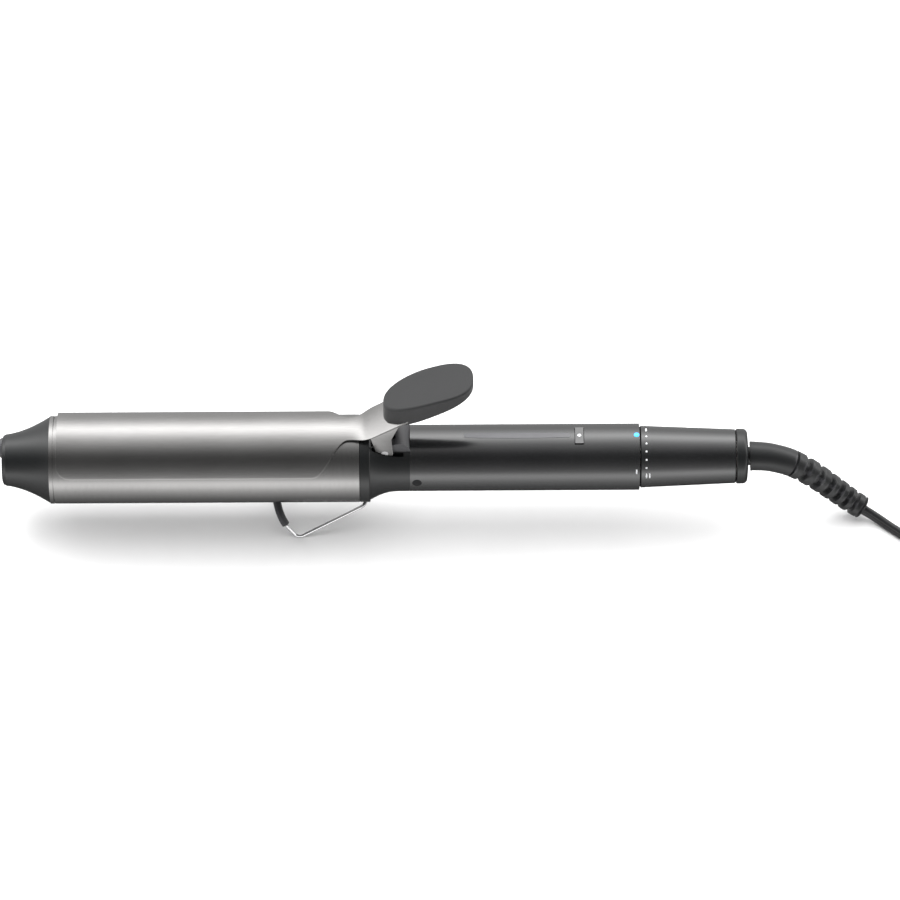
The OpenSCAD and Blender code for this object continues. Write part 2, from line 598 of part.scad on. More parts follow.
module power_button() color([0.35, 0.35, 0.37]) {
    block(button_s - button_x / 2, button_s + button_x / 2, -button_y / 2, button_y / 2, button_flange,
        handle_r - 0.1);
    block(button_s - button_x / 2 - 1, button_s + button_x / 2 + 1, -button_y / 2 - 1, button_y / 2 + 1,
        button_flange - 1, button_flange);
    at(button_s, 0, switch_top + button_travel + 0.1)
        cylinder(h = button_flange - switch_top - button_travel - 0.5, d = 2.8, $fn = 32);
}

module indicator_ring() color("black") difference() {
    ring(ring_s, dial_s, hub_r + fit_gap, handle_r);
    at((ring_s + dial_s) / 2, 0, 0) cylinder(h = far, d = lens_d, $fn = 48);
}
lens_base = hub_r + fit_gap + 0.2;
module led_lens() color("deepskyblue") at((ring_s + dial_s) / 2, 0, lens_base) rotate_extrude($fn = 48)
    polygon(concat([[0, 0], [lens_d / 2 - 0.02, 0]], [for (a = [0:15:90])
        [(lens_d / 2 - 0.02) * cos(a), handle_r - lens_base - 0.1 + 0.5 * sin(a)]]));

lamp_d = 1.8;
module indicator_lamp() color("aqua") at((ring_s + dial_s) / 2, 0, hub_ri)
    cylinder(h = hub_r - hub_ri, d = lamp_d, $fn = 32);

module dial_hub() color([0.3, 0.3, 0.32]) difference() {
    lathe([[hub_ri, hub_s], [handle_ri - fit_gap, hub_s], [handle_ri - fit_gap, ring_s - 0.5],
        [hub_r, ring_s - 0.5], [hub_r, cap_s - 0.1], [hub_ri, cap_s - 0.1]]);
    at((ring_s + dial_s) / 2, 0, 0) cylinder(h = far, d = lamp_d + 2 * fit_gap, $fn = 32);
}
dial_gap = 0.25;
module temperature_dial() color([0.1, 0.1, 0.11]) {
    s0 = dial_s + dial_gap;
    s1 = cap_s - dial_gap;
    difference() {
        lathe([[hub_r + run_gap, s0], [dial_d0 / 2 - 0.5, s0], [dial_d0 / 2, s0 + 0.5],
            [dial_d1 / 2, s1 - 0.4], [dial_d1 / 2 - 0.4, s1], [hub_r + run_gap, s1]]);
        // Groove inside for the wiper
        ring(s0 + 6, s0 + 12, 0, hub_r + 1);
    }
}
module dial_wiper() color("goldenrod") difference() {
    ring(dial_s + 7, dial_s + 11, hub_r + run_gap, hub_r + 0.8);
    block(0, far * 8, -far, far, -far, 4);
}
cap_edge = 2;
module end_cap() color("black") difference() {
    lathe(concat([[stem_d / 2 + run_gap, cap_s - 5], [hub_ri - fit_gap, cap_s - 5], [hub_ri - fit_gap, cap_s],
        [cap_d / 2 - 0.3, cap_s], [cap_d / 2, cap_s + 0.3]],
        [for (a = [0:15:90]) [cap_d / 2 - cap_edge * (1 - cos(a)), end_s - cap_edge - 0.4 + cap_edge * sin(a)]],
        [[stem_d / 2 + 1, end_s], [stem_d / 2 + run_gap, end_s]]));
}

stem_back = cap_s - 8;
nose_r = 3;
module swivel_stem() color([0.2, 0.2, 0.22])
    lathe([[0.8, stem_back - 13], [nose_r, stem_back - 13], [nose_r, stem_back],
        [hub_ri - 1.2, stem_back], [hub_ri - 1.2, cap_s - 5 - free_gap], [stem_d / 2, cap_s - 5 - free_gap],
        [stem_d / 2, end_s + stem_out], [0.8, end_s + stem_out]]);
slip_at = [stem_back - 11, stem_back - 6];
module slip_rings() color("goldenrod") for (s = slip_at) ring(s, s + 2.6, nose_r, nose_r + 1);
module brush_holder() color("tan") ring(stem_back - 13, stem_back - 1, nose_r + 3, hub_ri - fit_gap);
module brush_contacts() color("orange") for (s = slip_at, z = [-1, 1])
    at(s + 0.4, -1, z > 0 ? nose_r + 1 + free_gap : -nose_r - 2.85) cube([1.8, 2, 1.85 - free_gap]);

// Insulated wires from the heater to the board, and from the swivel's brushes to the board
module lead(p) at(0) sweep(curve(p, 3), same(curve(p, 3), lead_r), same(curve(p, 3), lead_r), 8);
heater_end = heater_s + heater_len;
module heater_leads() color("white") for (y = [-1, 1])
    lead([[heater_end + 0.2, y * 4, 0], [heater_end + 3, y * 4, 1], [collar_s - 9, y * lead_y, lead_z],
        [collar_s - 2, y * lead_y, lead_z], [collar_s + 8, y * lead_y, lead_z],
        [board_s0 - 4, y * lead_y, lead_z], [board_s0 + 3, y * 5, board_top + 1.1],
        [board_s0 + 8, y * 6, board_top + 1]]);
module mains_leads() color("brown") for (y = [-1, 1])
    lead([[stem_back - 13.2, y * 4.5, 5], [hub_s + 20, y * 5, 4.6], [hub_s + 4, y * 5, 4.4],
        [chassis_s1 - 4, y * 5, 4], [board_s0 + board_len - 1, y * 5, board_top + 1.3],
        [board_s0 + board_len - 6, y * 5.4, board_top + 1]]);

relief_steps = 6;
relief_s = end_s + stem_out + 0.05;
relief_line = [for (p = curve(relief_route, relief_steps)) p];
relief_n = len(relief_line) - 1;
rib_from = 0.36;
// Radius of the strain relief: a smooth neck, then ribs that shrink towards the cord
function relief_r(f) = let (body = relief_d0 / 2 + (relief_d1 / 2 - relief_d0 / 2) * f,
    g = (f - rib_from) / (1 - rib_from) * relief_ribs) f < rib_from ? body : (g % 1 < 0.45 && f < 1
    ? body - 1.6 : body);
module strain_relief() color([0.12, 0.12, 0.12]) at(relief_s) sweep(relief_line,
    [for (i = [0:relief_n]) relief_r(i / relief_n)], [for (i = [0:relief_n]) relief_r(i / relief_n)], 12);

// Frame of the cord: stations along X, heights above the table
module laid() translate([-mid_s, 0, 0]) children();
cord_line = curve(cord_route, 2);
module cord_tube() color([0.12, 0.12, 0.12]) laid()
    sweep(cord_line, same(cord_line, cord_t / 2), same(cord_line, cord_w / 2), 10);
module hank_outline(r) {
    translate([hank_s, hank_y]) circle(r = r, $fn = 96);
    translate([hank_end, hank_y]) circle(r = r, $fn = 96);
    translate([hank_s, hank_y - r]) square([hank_run, 2 * r]);
}
module cord_hank() color([0.12, 0.12, 0.12]) laid() translate([0, 0, hank_base])
    linear_extrude(2 * layer) hank_outline(hank_r);
tail_route = [[hank_end + 21, -17.9, tail_z], [hank_end + 25, -15.4, tail_z],
    [hank_end + 29.5, -13.3, tail_z], [hank_end + 33, -12.4, tail_z], [plug_s, plug_y, tail_z]];
module cord_tail() color([0.12, 0.12, 0.12]) laid()
    sweep(tail_route, same(tail_route, cord_t / 2), same(tail_route, cord_w / 2), 10);
tie_w = 12;
module cord_tie() color("gray") laid() translate([(hank_s + hank_end) / 2 - tie_w / 2, hank_y, 0])
    difference() {
        translate([0, -hank_r - tie_t - 0.05, 0]) cube([tie_w, 2 * (hank_r + tie_t) + 0.1, hank_base + 2 * layer + tie_t + 0.05]);
        translate([-1, -hank_r - 0.05, hank_base - 0.05]) cube([tie_w + 2, 2 * hank_r + 0.1, 2 * layer + 0.1]);
    }

plug_t = 2 * tail_z - 0.2;
plug_neck = 12;
module plug_body() color([0.12, 0.12, 0.12]) laid() translate([plug_s, plug_y, tail_z]) difference() {
    intersection() {
        translate([0, 0, -plug_t / 2]) linear_extrude(plug_t) polygon([[0, -5], [plug_neck, -6.5],
            [plug_neck + 6, -plug_w / 2 + 2], [plug_neck + 9, -plug_w / 2], [plug_len - 2, -plug_w / 2],
            [plug_len, -plug_w / 2 + 2], [plug_len, plug_w / 2 - 2], [plug_len - 2, plug_w / 2],
            [plug_neck + 9, plug_w / 2], [plug_neck + 6, plug_w / 2 - 2], [plug_neck, 6.5], [0, 5]]);
        rotate([90, 0, 0]) linear_extrude(far, center = true) polygon([[0, -4], [plug_neck, -6],
            [plug_neck + 8, -plug_t / 2], [plug_len, -plug_t / 2], [plug_len, plug_t / 2],
            [plug_neck + 8, plug_t / 2], [plug_neck, 6], [0, 4]]);
    }
    for (y = [-1, 1]) translate([plug_len - 6, y * plug_pitch / 2, 0]) rotate([0, 90, 0])
        cylinder(h = 8, d = plug_pin_d - 0.8, $fn = 48);
}
module plug_pins() color("silver") laid() for (y = [-1, 1])
    translate([plug_s + plug_len - 6, plug_y + y * plug_pitch / 2, tail_z]) rotate([0, 90, 0])
        rotate_extrude($fn = 48) polygon([[0, 0], [plug_pin_d / 2 - 0.4, 0], [plug_pin_d / 2 - 0.4, 6],
            [plug_pin_d / 2, 6], [plug_pin_d / 2, 6 + plug_pin_len - 1],
        [plug_pin_d / 2 - 1, 6 + plug_pin_len], [0, 6 + plug_pin_len]]);

cool_tip();
tip_plug();
barrel_lip();
barrel_tube();
heater_plate();
spreader_upper();
spreader_lower();
thermistor();
thermal_fuse();
barrel_insulator();
collar();
collar_screws();
hinge_block();
hinge_pin();
torsion_spring();
clamp();
thumb_rest();
thumb_rest_screws();
stand_wire();
stand_sleeve();
handle_sleeve();
chassis_upper();
chassis_lower();
board_screws();
control_board();
board_parts();
tact_switch();
power_button();
indicator_ring();
indicator_lamp();
led_lens();
dial_hub();
temperature_dial();
dial_wiper();
end_cap();
swivel_stem();
slip_rings();
brush_holder();
brush_contacts();
heater_leads();
mains_leads();
strain_relief();
cord_tube();
cord_hank();
cord_tail();
cord_tie();
plug_body();
plug_pins();
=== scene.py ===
# %% [markdown]
# # A curling iron on its wire stand
#
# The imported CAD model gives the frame: its nodes, their places and their joints. This script gives the iron its looks.
# It makes new pieces where a plain CAD solid isn't enough, and a material for every piece.

# %% Load the frame
import math

import bpy
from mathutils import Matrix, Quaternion, Vector


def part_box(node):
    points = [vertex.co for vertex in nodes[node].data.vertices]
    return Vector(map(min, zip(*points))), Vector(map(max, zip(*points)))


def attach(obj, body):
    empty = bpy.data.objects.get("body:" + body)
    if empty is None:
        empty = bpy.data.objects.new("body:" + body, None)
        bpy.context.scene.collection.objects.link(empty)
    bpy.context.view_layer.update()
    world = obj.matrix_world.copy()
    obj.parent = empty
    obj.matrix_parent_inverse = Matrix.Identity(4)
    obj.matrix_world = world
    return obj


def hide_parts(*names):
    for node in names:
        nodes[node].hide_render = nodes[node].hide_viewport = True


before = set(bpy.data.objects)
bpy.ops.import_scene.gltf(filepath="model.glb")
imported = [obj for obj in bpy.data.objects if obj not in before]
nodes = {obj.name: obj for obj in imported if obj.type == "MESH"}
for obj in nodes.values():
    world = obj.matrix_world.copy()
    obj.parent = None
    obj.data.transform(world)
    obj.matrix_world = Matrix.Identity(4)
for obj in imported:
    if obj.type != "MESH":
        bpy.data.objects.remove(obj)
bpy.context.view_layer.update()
MM = 0.001
print("loaded", len(nodes), "nodes")

# %% [markdown]
# Everything is placed from the frame. Stations run along the iron from the cool tip's end face, as in the CAD source,
# so one value turns a station into an X. The axis of the iron is as high as the middle of its barrel.

# %% Places that the pieces share
barrel_lo, barrel_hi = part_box("barrel_tube")
handle_lo, handle_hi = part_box("handle_sleeve")
collar_lo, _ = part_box("collar")
AXIS_Z = (barrel_lo.z + barrel_hi.z) / 2
BARREL_R = (barrel_hi.z - barrel_lo.z) / 2
HANDLE_R = (handle_hi.z - handle_lo.z) / 2
COLLAR_S = 154.5
STATION_0 = collar_lo.x - COLLAR_S * MM
print("axis height", round(AXIS_Z, 4), "barrel radius", round(BARREL_R, 4))


def x_at(station_mm):
    return STATION_0 + station_mm * MM


# %% [markdown]
# The camera comes first; the cord's room was measured from its view. It stands far back with a long lens, so
# that the iron is seen almost without perspective, from well above its side. It is rolled by a third of a degree.

# %% Camera
ELEVATION = math.radians(49)
VIEW_WIDTH = 389.6 * MM
DISTANCE = 2.8
ROLL = math.radians(0.31)
back = Vector((0, -math.cos(ELEVATION), math.sin(ELEVATION)))
view_up = Vector((0, math.sin(ELEVATION), math.cos(ELEVATION)))
view_centre = Vector((x_at(193.6), 0, AXIS_Z)) + view_up * 3.3 * MM
camera_data = bpy.data.cameras.new("camera")
camera = bpy.data.objects.new("camera", camera_data)
bpy.context.scene.collection.objects.link(camera)
camera_data.sensor_width = 36
camera_data.lens = camera_data.sensor_width * DISTANCE / VIEW_WIDTH
camera_data.clip_end = 20
camera.location = view_centre + back * DISTANCE
camera.rotation_mode = "QUATERNION"
camera.rotation_quaternion = (-back).to_track_quat("-Z", "Y")
camera.rotation_quaternion = camera.rotation_quaternion @ Quaternion((0, 0, 1), -ROLL)
bpy.context.scene.camera = camera
print("lens", round(camera_data.lens), "mm")

# %% [markdown]
# ## The cord
#
# The cord is a flat twin lead: two round conductors side by side in one jacket. It leaves the strain relief, comes
# down to the table in a soft curve, and is wound beside the iron into a hank of two layers, held by a strap. A curve
# object could carry a round lead, but a figure-of-eight section is easier to hold upright as a swept mesh.

# %% The cord's route
CORD_W = 5.4 * MM
CORD_T = 2.8 * MM
HANK_S, HANK_END, HANK_Y = 424, 523.3, -5.1
HANK_R, HANK_PITCH, TURNS_IN = 23.4, 3.1, 2.5
LOW_Z, HIGH_Z = 3.35, 8.8
PLUG_S, PLUG_Y = 559, -12.3
cord_route = [(372, -3.8, 5.9), (375, -5.1, 4.6), (378, -6.8, 3.7), (382, -9.8, 3.0), (387, -14.2, 2.75),
              (392, -18.3, 2.75), (398, -22.3, 2.8), (405, -25.7, 2.95), (413, -27.9, 3.15), (421, -28.6, 3.35)]


def smooth(points, steps):
    """A Catmull-Rom curve through the points."""
    out = []
    last = len(points) - 1
    for i in range(last):
        a, b = Vector(points[max(i - 1, 0)]), Vector(points[i])
        c, d = Vector(points[i + 1]), Vector(points[min(i + 2, last)])
        for k in range(steps):
            t = k / steps
            out.append(0.5 * (2 * b + (c - a) * t + (2 * a - 5 * b + 4 * c - d) * t * t
                              + (3 * b - a - 3 * c + d) * t ** 3))
    return out + [Vector(points[last])]


def hank_radius(turn):
    """The winding closes in on the first layer, climbs along one run, and opens out again on the second."""
    if turn <= TURNS_IN:
        return HANK_R - HANK_PITCH * turn
    inner = HANK_R - HANK_PITCH * TURNS_IN
    return min(HANK_R, inner + max(0, turn - TURNS_IN - 0.25) * (HANK_R - inner) / (TURNS_IN - 0.25))


def hank_height(turn):
    f = min(1, max(0, (turn - TURNS_IN) * 4))
    return LOW_Z + (HIGH_Z - LOW_Z) * f * f * (3 - 2 * f)


def hank_point(turn):
    """Where the cord lies after so many turns: near run, round the end, far run, round the other end."""
    r, z = hank_radius(turn), hank_height(turn)
    part, f = divmod((turn % 1) * 4, 1)
    angle = math.radians(180 * f - 90)
    if part == 0:
        return Vector((HANK_S + (HANK_END - HANK_S) * f, HANK_Y - r, z))
    if part == 1:
        return Vector((HANK_END + r * math.cos(angle), HANK_Y + r * math.sin(angle), z))
    if part == 2:
        return Vector((HANK_END + (HANK_S - HANK_END) * f, HANK_Y + r, z))
    return Vector((HANK_S - r * math.cos(angle), HANK_Y - r * math.sin(angle), z))


STEPS_A_TURN = 48
full_turns = 2 * TURNS_IN + 0.25 + 0.25 * 50 / 180
route = smooth(cord_route, 4)
route += [hank_point(i / STEPS_A_TURN) for i in range(int(full_turns * STEPS_A_TURN))]
route += smooth([(HANK_END + 18.3, -19.7, HIGH_Z), (HANK_END + 21, -17.9, HIGH_Z), (HANK_END + 25, -15.4, HIGH_Z),
                 (HANK_END + 29.5, -13.3, HIGH_Z), (HANK_END + 33, -12.4, HIGH_Z), (PLUG_S + 1, PLUG_Y, HIGH_Z)], 3)
path = [Vector((x_at(p.x), p.y * MM, p.z * MM)) for p in route]
path_length = sum((b - a).length for a, b in zip(path, path[1:]))
print("cord", round(path_length, 3), "m along", len(path), "points")

# %% [markdown]
# A sweep carries a section along a path. At each point the section stands upright, square to the way the path goes.
# The cord, and later the strain relief, are both made this way.


# %% Sweep a section along a path
def swept(name, points, section_at, closed=True):
    """A mesh tube; section_at(i) gives ring i as (sideways, upwards) offsets."""
    count = len(section_at(0))
    verts, faces = [], []
    for i, p in enumerate(points):
        ahead = (points[min(i + 1, len(points) - 1)] - points[max(i - 1, 0)]).normalized()
        side = ahead.cross(Vector((0, 0, 1))).normalized()
        up = side.cross(ahead)
        verts += [p + side * u + up * v for u, v in section_at(i)]
    for i in range(len(points) - 1):
        for k in range(count):
            n = (k + 1) % count
            faces.append((i * count + k, i * count + n, (i + 1) * count + n, (i + 1) * count + k))
    faces.append(tuple(reversed(range(count))))
    faces.append(tuple(range((len(points) - 1) * count, len(points) * count)))
    mesh = bpy.data.meshes.new(name)
    mesh.from_pydata(verts, [], faces)
    piece = bpy.data.objects.new(name, mesh)
    bpy.context.scene.collection.objects.link(piece)
    recalculate(piece)
    return piece


def choose(piece):
    """Makes one object the active and only selected one."""
    bpy.ops.object.select_all(action="DESELECT")
    piece.select_set(True)
    bpy.context.view_layer.objects.active = piece


def recalculate(piece):
    choose(piece)
    bpy.ops.object.mode_set(mode="EDIT")
    bpy.ops.mesh.select_all(action="SELECT")
    bpy.ops.mesh.normals_make_consistent(inside=False)
    bpy.ops.object.mode_set(mode="OBJECT")
    bpy.ops.object.shade_smooth_by_angle(angle=math.radians(35))


def finish_with(piece, kind, **settings):
    """Adds a modifier, sets it and applies it."""
    choose(piece)
    modifier = piece.modifiers.new(kind.lower(), kind)
    for key, value in settings.items():
        setattr(modifier, key, value)
    bpy.ops.object.modifier_apply(modifier=modifier.name)


# %% The cord's two-lobed section
LOBE = CORD_T / 2
LOBE_OUT = CORD_W / 2 - LOBE
WAIST = LOBE * 0.62


def twin_section(_):
    ring = []
    for k in range(20):
        a = math.tau * k / 20
        up = LOBE_OUT * (1 if math.sin(a) > 0 else -1) * min(1, abs(math.sin(a)) * 3) + LOBE * math.sin(a)
        side = LOBE * math.cos(a)
        if abs(math.sin(a)) < 0.05:
            side = math.copysign(WAIST, side)
        ring.append((side, up))
    return ring


cord = swept("mains_cord", path, twin_section)
print("cord mesh", len(cord.data.polygons), "faces")

# %% [markdown]
# ## The strain relief
#
# The relief is one rubber moulding: a smooth neck, then ribs with slots between them that let it bend in an even
# curve. It is swept like the cord, along a finer path, and the radius alone makes the ribs.

# %% Strain relief
RELIEF_S = 323.45
relief_route = [(0, 0, 0), (2, 0, 0), (8.5, 0, -0.8), (16.5, -0.2, -3.6), (23.5, -0.5, -8.1), (30, -0.9, -13.6),
                (35.5, -1.3, -18.8), (40.5, -1.8, -23.4), (45, -2.6, -27.2), (49.5, -3.8, -30.1)]
RIBS = 7
RIB_FROM = 0.36
RIB_SHARE = 0.62
RIB_EDGE = 0.09
RELIEF_R, RELIEF_TAPER, SLOT_DEPTH = 6.45, 1.3, 2.1
relief_path = [Vector((x_at(RELIEF_S + p.x), p.y * MM, AXIS_Z + p.z * MM)) for p in smooth(relief_route, 16)]


def relief_radius(f):
    body = (RELIEF_R - RELIEF_TAPER * f) * MM
    if f < RIB_FROM or f >= 0.995:
        return body
    g = ((f - RIB_FROM) / (1 - RIB_FROM) * RIBS) % 1
    edge = min(g / RIB_EDGE, (RIB_SHARE + RIB_EDGE - g) / RIB_EDGE, 1)
    lift = max(0, edge)
    return body - SLOT_DEPTH * MM * (1 - lift if g < RIB_SHARE + RIB_EDGE else 1)


def relief_section(i):
    r = relief_radius(i / (len(relief_path) - 1))
    return [(r * math.cos(math.tau * k / 40), r * math.sin(math.tau * k / 40)) for k in range(40)]


relief = swept("strain_relief_ribs", relief_path, relief_section)
finish_with(relief, "BEVEL", width=0.15 * MM, segments=2, limit_method="ANGLE", angle_limit=math.radians(35))
recalculate(relief)
print("relief mesh", len(relief.data.polygons), "faces")

# %% [markdown]
# ## The plug and the strap
#
# The plug is a soft moulding round two pins. Its CAD solid has the right outline but hard edges, so it is copied,
# merged and bevelled, which leaves the pins and the size alone.


# %% Soften a copy of a CAD node
def softened(node, name, width, segments=4, angle=30):
    copy = bpy.data.objects.new(name, nodes[node].data.copy())
    bpy.context.scene.collection.objects.link(copy)
    copy.data.materials.clear()
    choose(copy)
    bpy.ops.object.mode_set(mode="EDIT")
    bpy.ops.mesh.select_all(action="SELECT")
    bpy.ops.mesh.remove_doubles(threshold=0.00001)
    bpy.ops.mesh.tris_convert_to_quads(face_threshold=0.02, shape_threshold=3.2)
    bpy.ops.mesh.dissolve_limited(angle_limit=math.radians(1))
    bpy.ops.object.mode_set(mode="OBJECT")
    finish_with(copy, "BEVEL", width=width, segments=segments, limit_method="ANGLE",
                angle_limit=math.radians(angle), use_clamp_overlap=True)
    recalculate(copy)
    return copy


plug = softened("plug_body", "plug_moulding", 1.6 * MM)
strap = softened("cord_tie", "hank_strap", 0.25 * MM, segments=2)
print("plug mesh", len(plug.data.polygons), "faces")

# %% [markdown]
# ## The clamp
#
# The clamp is one bent and stamped sheet: a plate that wraps the barrel, a neck, a lever that climbs over the hinge,
# and two ears folded down to the pin. A grid is bent over it row by row, so that the round plate turns into the nearly
# flat lever without a crease. Solidify then gives it the thickness of the sheet, and a bevel a rounded edge that
# catches a bright line of light.

# %% Sizes of the clamp
CLAMP_S, CORNER, HALF = 24.1, 6, 67
PLATE_R = 19.9
FULL_S, NECK = 134, 16
NECK_HALF, EAR_OUT = 6.4, 8.8
BEND_S, BEND_R, SLOPE = 151, 11.5, math.radians(33.3)
LEVER_TO = 183
SHEET = 1.1
HINGE_S, HINGE_UP = 165.5, 13


def blend_step(a, b, x):
    f = min(1, max(0, (x - a) / (b - a)))
    return f * f * (3 - 2 * f)


def centre_height(s):
    """Height of the sheet's middle line above the axis."""
    if s < BEND_S:
        return PLATE_R
    run = BEND_R * math.sin(SLOPE)
    if s < BEND_S + run:
        return PLATE_R + BEND_R - math.sqrt(BEND_R ** 2 - (s - BEND_S) ** 2)
    return PLATE_R + BEND_R * (1 - math.cos(SLOPE)) + (s - BEND_S - run) * math.tan(SLOPE)


def half_width(s):
    """Half of the sheet's width, measured round it."""
    full = PLATE_R * math.radians(HALF)
    neck = PLATE_R * math.asin(NECK_HALF / PLATE_R)
    if s < CLAMP_S + CORNER:
        back_off = (CLAMP_S + CORNER - s) / CORNER
        return full - CORNER * (1 - math.sqrt(max(0, 1 - back_off ** 2)))
    if s < FULL_S:
        return full
    if s < FULL_S + NECK:
        return neck + (full - neck) * (0.5 + 0.5 * math.cos(math.pi * (s - FULL_S) / NECK))
    return neck + (EAR_OUT - NECK_HALF) * blend_step(151, 161, s)


def bend_radius(s):
    return PLATE_R + 45 * blend_step(148, 172, s)


# %% Bend the grid
rows = [CLAMP_S + CORNER * (1 - math.cos(math.radians(a))) for a in range(0, 91, 9)]
rows += [CLAMP_S + CORNER + (FULL_S - CLAMP_S - CORNER) * k / 16 for k in range(1, 17)]
rows += [FULL_S + (LEVER_TO - FULL_S) * k / 60 for k in range(1, 61)]
COLUMNS = 48
bpy.ops.object.select_all(action="DESELECT")
bpy.ops.mesh.primitive_grid_add(x_subdivisions=len(rows) - 1, y_subdivisions=COLUMNS, size=2)
clamp = bpy.context.active_object
clamp.name = "clamp_sheet"
for v in clamp.data.vertices:
    row = round((v.co.x + 1) / 2 * (len(rows) - 1))
    across = v.co.y
    s = rows[row]
    r = bend_radius(s)
    a = across * half_width(s) / r
    v.co = Vector((x_at(s), r * math.sin(a) * MM, AXIS_Z + (centre_height(s) - r * (1 - math.cos(a))) * MM))
finish_with(clamp, "SOLIDIFY", thickness=SHEET * MM, offset=0)
finish_with(clamp, "BEVEL", width=0.32 * MM, segments=3, limit_method="ANGLE", angle_limit=math.radians(50))


# %% The ears, cut from plate
def plate(name, outline, y, thickness, bevel):
    """A flat plate in the XZ plane from an outline of (station, height above the axis)."""
    bpy.ops.object.select_all(action="DESELECT")
    bpy.ops.mesh.primitive_circle_add(vertices=len(outline), radius=1, fill_type="NGON")
    piece = bpy.context.active_object
    piece.name = name
    for v, (s, up) in zip(piece.data.vertices, outline):
        v.co = Vector((x_at(s), y * MM, AXIS_Z + up * MM))
    finish_with(piece, "SOLIDIFY", thickness=thickness * MM, offset=0)
    finish_with(piece, "BEVEL", width=bevel * MM, segments=2, limit_method="ANGLE",
                angle_limit=math.radians(50))
    recalculate(piece)
    return piece


EAR_R = 3.6
ear_round = [(HINGE_S - EAR_R * math.cos(math.radians(a)), HINGE_UP - EAR_R * math.sin(math.radians(a)))
             for a in range(0, 181, 15)]
ear_top = [(HINGE_S + 3, HINGE_UP + 9), (HINGE_S + 6.5, centre_height(HINGE_S + 6.5) - 0.5),
           (HINGE_S - 6, centre_height(HINGE_S - 6) - 0.6)]
ears = [plate(f"ear_{k}", ear_round + ear_top, side * 8.3, SHEET, 0.2) for k, side in enumerate((-1, 1))]
bpy.ops.object.select_all(action="DESELECT")
for piece in ears + [clamp]:
    piece.select_set(True)
bpy.context.view_layer.objects.active = clamp
bpy.ops.object.join()
recalculate(clamp)
print("clamp mesh", len(clamp.data.polygons), "faces")

# %% [markdown]
# ## The thumb rest
#
# The thumb rest is a soft-touch paddle: a flat top that slopes with the lever, a crisp line round it, and a deep side.
# A filled circle is drawn out to the paddle's outline, inset twice round its top, extruded down to its underside,
# and bevelled all over for the mould's small radii.

# %% Thumb rest
THUMB_S, THUMB_LEN, THUMB_W = 165, 38.8, 22
OUTLINE = 96


def paddle(a):
    """Outline of the paddle: egg-shaped, blunter at its free end."""
    c, s = math.cos(a), math.sin(a)
    x = math.copysign(abs(c) ** (0.66 if c > 0 else 0.9), c)
    y = math.copysign(abs(s) ** 0.78, s)
    return THUMB_S + THUMB_LEN * (0.5 + 0.5 * x), THUMB_W / 2 * y * (1 + 0.05 * c)


def top_height(s):
    f = (s - THUMB_S) / THUMB_LEN
    return 37.6 + 15.2 * f + 1.6 * math.sin(math.pi * f) - 0.6 * f ** 6


def under_height(s):
    f = (s - THUMB_S) / THUMB_LEN
    return 26 + 21 * max(0, f) ** 1.12 + 2.2 * max(0, 1 - f / 0.2) ** 2


bpy.ops.object.select_all(action="DESELECT")
bpy.ops.mesh.primitive_circle_add(vertices=OUTLINE, radius=1, fill_type="NGON")
thumb = bpy.context.active_object
thumb.name = "thumb_paddle"
for v in thumb.data.vertices:
    s, y = paddle(math.atan2(v.co.y, v.co.x))
    v.co = Vector((s, y, 0)) * MM
bpy.ops.object.mode_set(mode="EDIT")
bpy.ops.mesh.select_all(action="SELECT")
bpy.ops.mesh.inset(thickness=1.5 * MM)
bpy.ops.mesh.inset(thickness=2.5 * MM)
bpy.ops.mesh.select_all(action="SELECT")
bpy.ops.mesh.extrude_region_move(TRANSFORM_OT_translate={"value": (0, 0, -10 * MM)})
bpy.ops.object.mode_set(mode="OBJECT")
for v in thumb.data.vertices:
    s, under = v.co.x / MM, v.co.z < -1 * MM
    up = under_height(s) if under else top_height(s)
    y = v.co.y * (0.86 if under else 1)
    v.co = Vector((x_at(s), y, AXIS_Z + up * MM))
recalculate(thumb)
finish_with(thumb, "BEVEL", width=1.1 * MM, segments=5, limit_method="ANGLE", angle_limit=math.radians(40))
recalculate(thumb)
print("thumb rest mesh", len(thumb.data.polygons), "faces")

# %% [markdown]
# ## Marks and small details
#
# The dial carries a row of small white dots and two bars, and the ring a pointer. They are printed, so they are thin
# pads that stand a few hundredths of a millimetre out of the surface. The handle has a slim plain inlay on its back.


# %% Pads that follow a round surface
def pad(name, s, across_deg, length, width, radius_at, lift=0.06):
    """A thin pad with round ends on a round piece; across_deg turns from the top towards the viewer."""
    bpy.ops.object.select_all(action="DESELECT")
    bpy.ops.mesh.primitive_grid_add(x_subdivisions=12, y_subdivisions=12, size=2)
    piece = bpy.context.active_object
    piece.name = name
    r0 = min(length, width) / 2
    for v in piece.data.vertices:
        x, y = v.co.x, v.co.y
        u, w = x * math.sqrt(1 - y * y / 2), y * math.sqrt(1 - x * x / 2)
        if length > width:
            u = u * r0 + x * (length / 2 - r0)
            w *= r0
        else:
            w = w * r0 + y * (width / 2 - r0)
            u *= r0
        r = radius_at(s + u)
        a = math.radians(across_deg) + w / r
        v.co = Vector((x_at(s + u), -r * math.sin(a) * MM, AXIS_Z + r * math.cos(a) * MM))
    finish_with(piece, "SOLIDIFY", thickness=2 * lift * MM, offset=0)
    recalculate(piece)
    return piece


DIAL_S0, DIAL_S1 = 275.65, 317.15
DIAL_R0, DIAL_TAPER = 13.4, 1.7


def dial_radius(s):
    return DIAL_R0 - DIAL_TAPER * (s - DIAL_S0) / (DIAL_S1 - DIAL_S0)


def handle_radius(_):
    return HANDLE_R / MM


